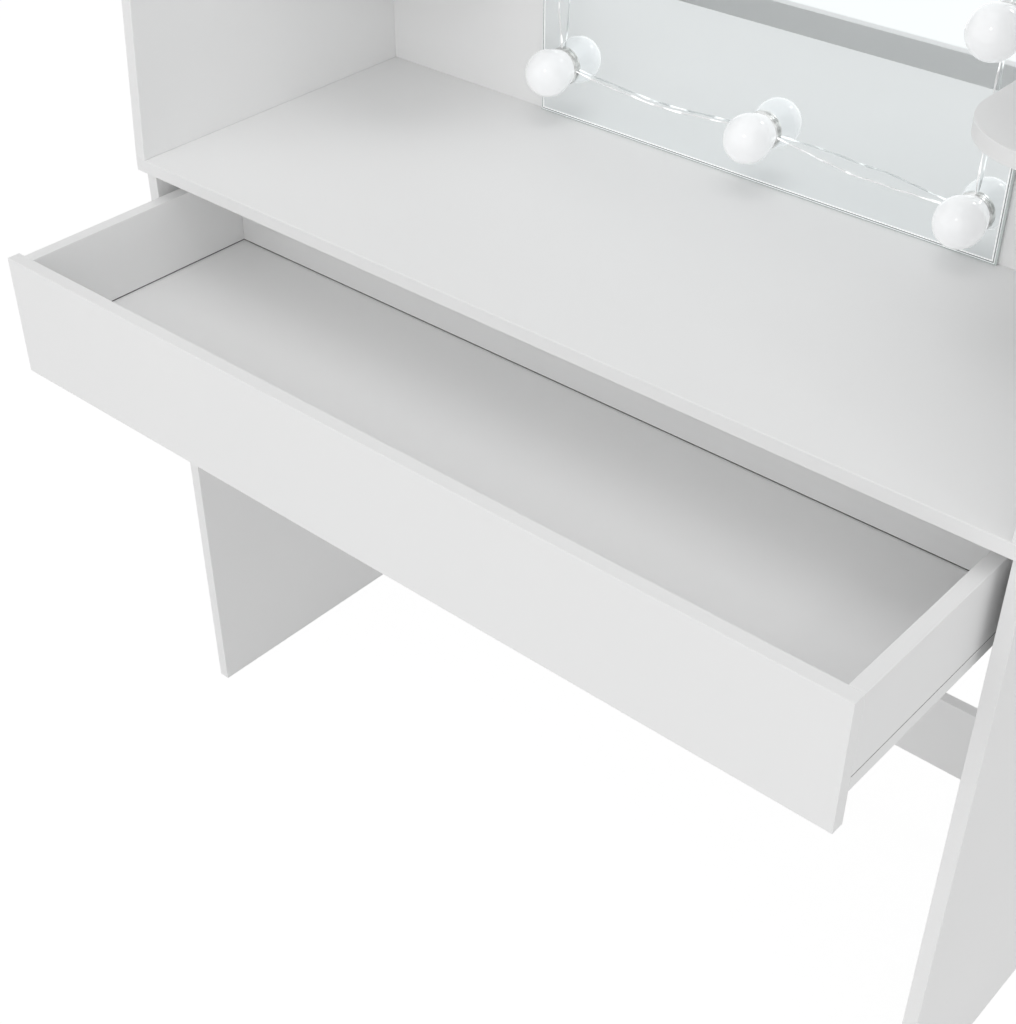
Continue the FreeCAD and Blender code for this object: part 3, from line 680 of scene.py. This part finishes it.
fine = add(cable, "GeometryNodeResampleCurve", {"Curve": given["Geometry"], "Count": PATH_POINTS})
along = add(cable, "GeometryNodeSplineParameter").outputs
remaining = maths(cable, "SUBTRACT", 1.0, along["Factor"])
fade = maths(cable, "MULTIPLY", maths(cable, "MULTIPLY", along["Factor"], remaining), 4.0)
spot = add(cable, "GeometryNodeInputPosition").outputs[0]
wander = add(cable, "ShaderNodeTexNoise", {"Vector": spot, "Scale": KINK_SCALE, "Detail": 1.0})
centred = add(cable, "ShaderNodeVectorMath",
              {0: wander.outputs["Color"], 1: (0.5, 0.5, 0.5)}, operation="SUBTRACT")
kink = scaled(cable, centred.outputs[0], maths(cable, "MULTIPLY", fade, given["Kink"]))
bent = add(cable, "GeometryNodeSetPosition", {"Geometry": fine.outputs["Curve"], "Offset": kink})
turns = maths(cable, "MULTIPLY", along["Length"], given["Turns per metre"])
turning = add(cable, "GeometryNodeSetCurveTilt",
              {"Curve": bent.outputs["Geometry"], "Tilt": maths(cable, "MULTIPLY", turns, math.tau)})
path = turning.outputs["Curve"]
print("the path of", cable.name, "has", len(cable.nodes), "nodes")

# %% A tree for a clear cable: its jacket and wires
JACKET_SIDES = 12
CORE_SIDES = 8


def circle(tree, sides, radius):
    """A round outline to draw along a path."""
    made = add(tree, "GeometryNodeCurvePrimitiveCircle", {"Resolution": sides, "Radius": radius})
    return made.outputs["Curve"]


def tube(tree, path, outline, finish):
    """Draw an outline along a path, close its ends and give it a finish."""
    made = add(tree, "GeometryNodeCurveToMesh",
               {"Curve": path, "Profile Curve": outline, "Fill Caps": True})
    made = add(tree, "GeometryNodeSetMaterial", {"Geometry": made.outputs["Mesh"], "Material": finish})
    return made.outputs["Geometry"]


parts = add(cable, "GeometryNodeJoinGeometry")
squash = add(cable, "ShaderNodeCombineXYZ", {"X": 1.0, "Y": given["Flatness"], "Z": 1.0})
flat = add(cable, "GeometryNodeTransform",
           {"Geometry": circle(cable, JACKET_SIDES, given["Jacket radius"]), "Scale": squash.outputs[0]})
fill(cable, parts, {"Geometry": tube(cable, path, flat.outputs["Geometry"], given["Jacket"])})

core_outline = circle(cable, CORE_SIDES, given["Core radius"])
wide_way = add(cable, "GeometryNodeInputNormal").outputs["Normal"]
for side in (-1.0, 1.0):
    offset = scaled(cable, wide_way, maths(cable, "MULTIPLY", given["Core offset"], side))
    strand = add(cable, "GeometryNodeSetPosition", {"Geometry": path, "Offset": offset})
    fill(cable, parts, {"Geometry": tube(cable, strand.outputs["Geometry"], core_outline, given["Core"])})
smooth = add(cable, "GeometryNodeSetShadeSmooth", {"Geometry": parts.outputs["Geometry"]})
real = add(cable, "GeometryNodeRealizeInstances", {"Geometry": smooth.outputs["Geometry"]})
fill(cable, result, {"Geometry": real.outputs["Geometry"]})
print("the tree", cable.name, "has", len(cable.nodes), "nodes")

# %% [markdown]
# ### Clear jacket and tinned wires
# The jacket is soft clear plastic with a slightly rippled skin. Fully clear plastic this thin all but
# disappears against a bright mirror, so it is only partly clear. Its gloss makes some of the flashes, and a
# noise in its emission paints in the rest as painted highlights, over a faint painted glow along the whole
# jacket.

# %% Wire
RIPPLE_DEPTH = 0.0003

jacket, tree, skin = new_finish("clear_jacket")
ripple = noise(tree, scale=220.0, detail=2.0)
painted_flashes = noise(tree, scale=48.0, detail=1.0)
fill(tree, skin, {
    "Normal": bump(tree, ripple, 0.25, RIPPLE_DEPTH),
    # Painted light: a faint glow all along, and painted flashes where the noise is high.
    "Emission Color": WHITE, "Emission Strength": between(tree, painted_flashes, 0.08, 0.46, start=0.52, end=0.62),
    "Base Color": (0.96, 0.97, 0.97, 1.0), "Roughness": 0.15, "IOR": 1.3, "Transmission Weight": 0.35})
core = speckled("tinned_core", (0.92, 0.92, 0.92), roughness=0.2, scale=900.0, relief=0.05, metallic=1.0)

WIRE = {
    "Jacket radius": 0.0011, "Flatness": 0.55, "Core radius": 0.0004, "Core offset": 0.00055,
    "Turns per metre": 16.0, "Kink": 0.0045, "Jacket": jacket, "Core": core}
grown("lamp_wire", wire_seed, cable, WIRE, ["wires_right", "wires_bottom", "wires_left", "wire_top"])

# %% [markdown]
# ## Screws
# The runners hang on small screws with a square socket and the boards on larger ones with a hexagon socket.
# Their places could be typed in, but then they would be wrong after the first change to a board. So they come
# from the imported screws: each group is split into its loose solids, and a box round each one says where its
# head sits. Upright screws were driven in from below, so their heads look down.

# %% Where the screws sit
SCREW_MERGE = 1e-5


def loose_boxes(node):
    """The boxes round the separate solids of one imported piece."""
    shape = merged_copy(node, SCREW_MERGE)
    met, boxes = set(), []
    for first in shape.verts:
        if first in met:
            continue
        met.add(first)
        solid = [first]
        for vert in solid:  # the list grows while it is walked, until the whole solid is in it
            for edge in vert.link_edges:
                other = edge.other_vert(vert)
                if other not in met:
                    met.add(other)
                    solid.append(other)
        low = Vector([min(vert.co[i] for vert in solid) for i in range(3)])
        high = Vector([max(vert.co[i] for vert in solid) for i in range(3)])
        boxes.append((low, high))
    shape.free()
    return boxes


screw_boxes = {node: loose_boxes(node) for node, slot in slot_of.items() if slot == "screw_steel"}
for node, boxes in screw_boxes.items():
    print(node, "holds", len(boxes), "screws")

# %% Which way the screws face
OUTWARD, INWARD, REARWARD = (1.0, 0.0), (-1.0, 0.0), (0.0, 1.0)
DOWN = Vector((0.0, 0.0, -1.0))


def screw_points(node, facing):
    """A point at the top of each screw's head, facing the way the head looks from its side of the table."""
    places, ways = [], []
    for low, high in screw_boxes[node]:
        middle = (low + high) / 2
        half = (high - low) / 2
        upright = half.z > max(half.x, half.y)
        way = DOWN if upright else Vector((math.copysign(1.0, middle.x) * facing[0], facing[1], 0.0))
        places.append(middle + way * half)
        ways.append(way)
    return points_object(f"{node}_points", places, ways)


HEADS_FACE = {
    "drawer_runner_screws": OUTWARD, "case_runner_screws": INWARD,
    "drawer_screws": OUTWARD, "shelf_screws": REARWARD,
}
points_of = {node: screw_points(node, facing) for node, facing in HEADS_FACE.items()}
print(sum(len(points.data.vertices) for points in points_of.values()), "points for screws")

# %% [markdown]
# ### A tree for a screw
# A screw is a low cone for the head and a cylinder for the shank. The socket is a prism that a Boolean takes
# out of the head: four sides make the square socket and six the hexagon, so one tree serves both kinds. Only
# the heads show, so the shank has no thread.

# %% A tree for a screw
HEAD_SIDES = 28
HEAD_TAPER = 0.86
SHANK_SIDES = 20

screw, given, result = new_tree("screw", [
    ("Head radius", "Float"), ("Head height", "Float"), ("Shank radius", "Float"), ("Shank length", "Float"),
    ("Recess sides", "Int"), ("Recess radius", "Float"), ("Recess depth", "Float"), ("Finish", "Material")])


def moved(tree, geometry, height):
    """Move a shape up or down."""
    offset = add(tree, "ShaderNodeCombineXYZ", {"Z": height}).outputs[0]
    made = add(tree, "GeometryNodeTransform", {"Geometry": geometry, "Translation": offset})
    return made.outputs["Geometry"]


head = add(screw, "GeometryNodeMeshCone", {
    "Vertices": HEAD_SIDES, "Radius Bottom": given["Head radius"],
    "Radius Top": maths(screw, "MULTIPLY", given["Head radius"], HEAD_TAPER), "Depth": given["Head height"]})
head = moved(screw, head.outputs["Mesh"], maths(screw, "MULTIPLY", given["Head height"], -1.0))
recess = add(screw, "GeometryNodeMeshCylinder", {
    "Vertices": given["Recess sides"], "Radius": given["Recess radius"],
    "Depth": maths(screw, "MULTIPLY", given["Recess depth"], 2.0)})
cut = add(screw, "GeometryNodeMeshBoolean", {"Mesh 1": head, "Mesh 2": recess.outputs["Mesh"]},
          operation="DIFFERENCE", solver="EXACT")
shank = add(screw, "GeometryNodeMeshCylinder", {
    "Vertices": SHANK_SIDES, "Radius": given["Shank radius"], "Depth": given["Shank length"]})
half_shank = maths(screw, "MULTIPLY", given["Shank length"], -0.5)
shank_middle = maths(screw, "SUBTRACT", half_shank, given["Head height"])
whole = add(screw, "GeometryNodeJoinGeometry")
fill(screw, whole, {"Geometry": cut.outputs["Mesh"]})
fill(screw, whole, {"Geometry": moved(screw, shank.outputs["Mesh"], shank_middle)})
set_on_points(screw, given, whole.outputs["Geometry"], result)

# %% Screws on the runners and the boards
zinc = speckled("zinc_steel", (0.62, 0.62, 0.63), roughness=0.32, scale=500.0, relief=0.05, metallic=1.0)
RUNNER_SCREW = {
    "Head radius": 0.0035, "Head height": 0.0014, "Shank radius": 0.00175, "Shank length": 0.012,
    "Recess sides": 4, "Recess radius": 0.0016, "Recess depth": 0.0009, "Finish": zinc}
BOARD_SCREW = {
    "Head radius": 0.0045, "Head height": 0.0025, "Shank radius": 0.0025, "Shank length": 0.045,
    "Recess sides": 6, "Recess radius": 0.0023, "Recess depth": 0.0018, "Finish": zinc}

for node, sizes in (
        ("drawer_runner_screws", RUNNER_SCREW), ("case_runner_screws", RUNNER_SCREW),
        ("drawer_screws", BOARD_SCREW), ("shelf_screws", BOARD_SCREW)):
    grown(f"{node}_detailed", points_of[node], screw, sizes, [node])
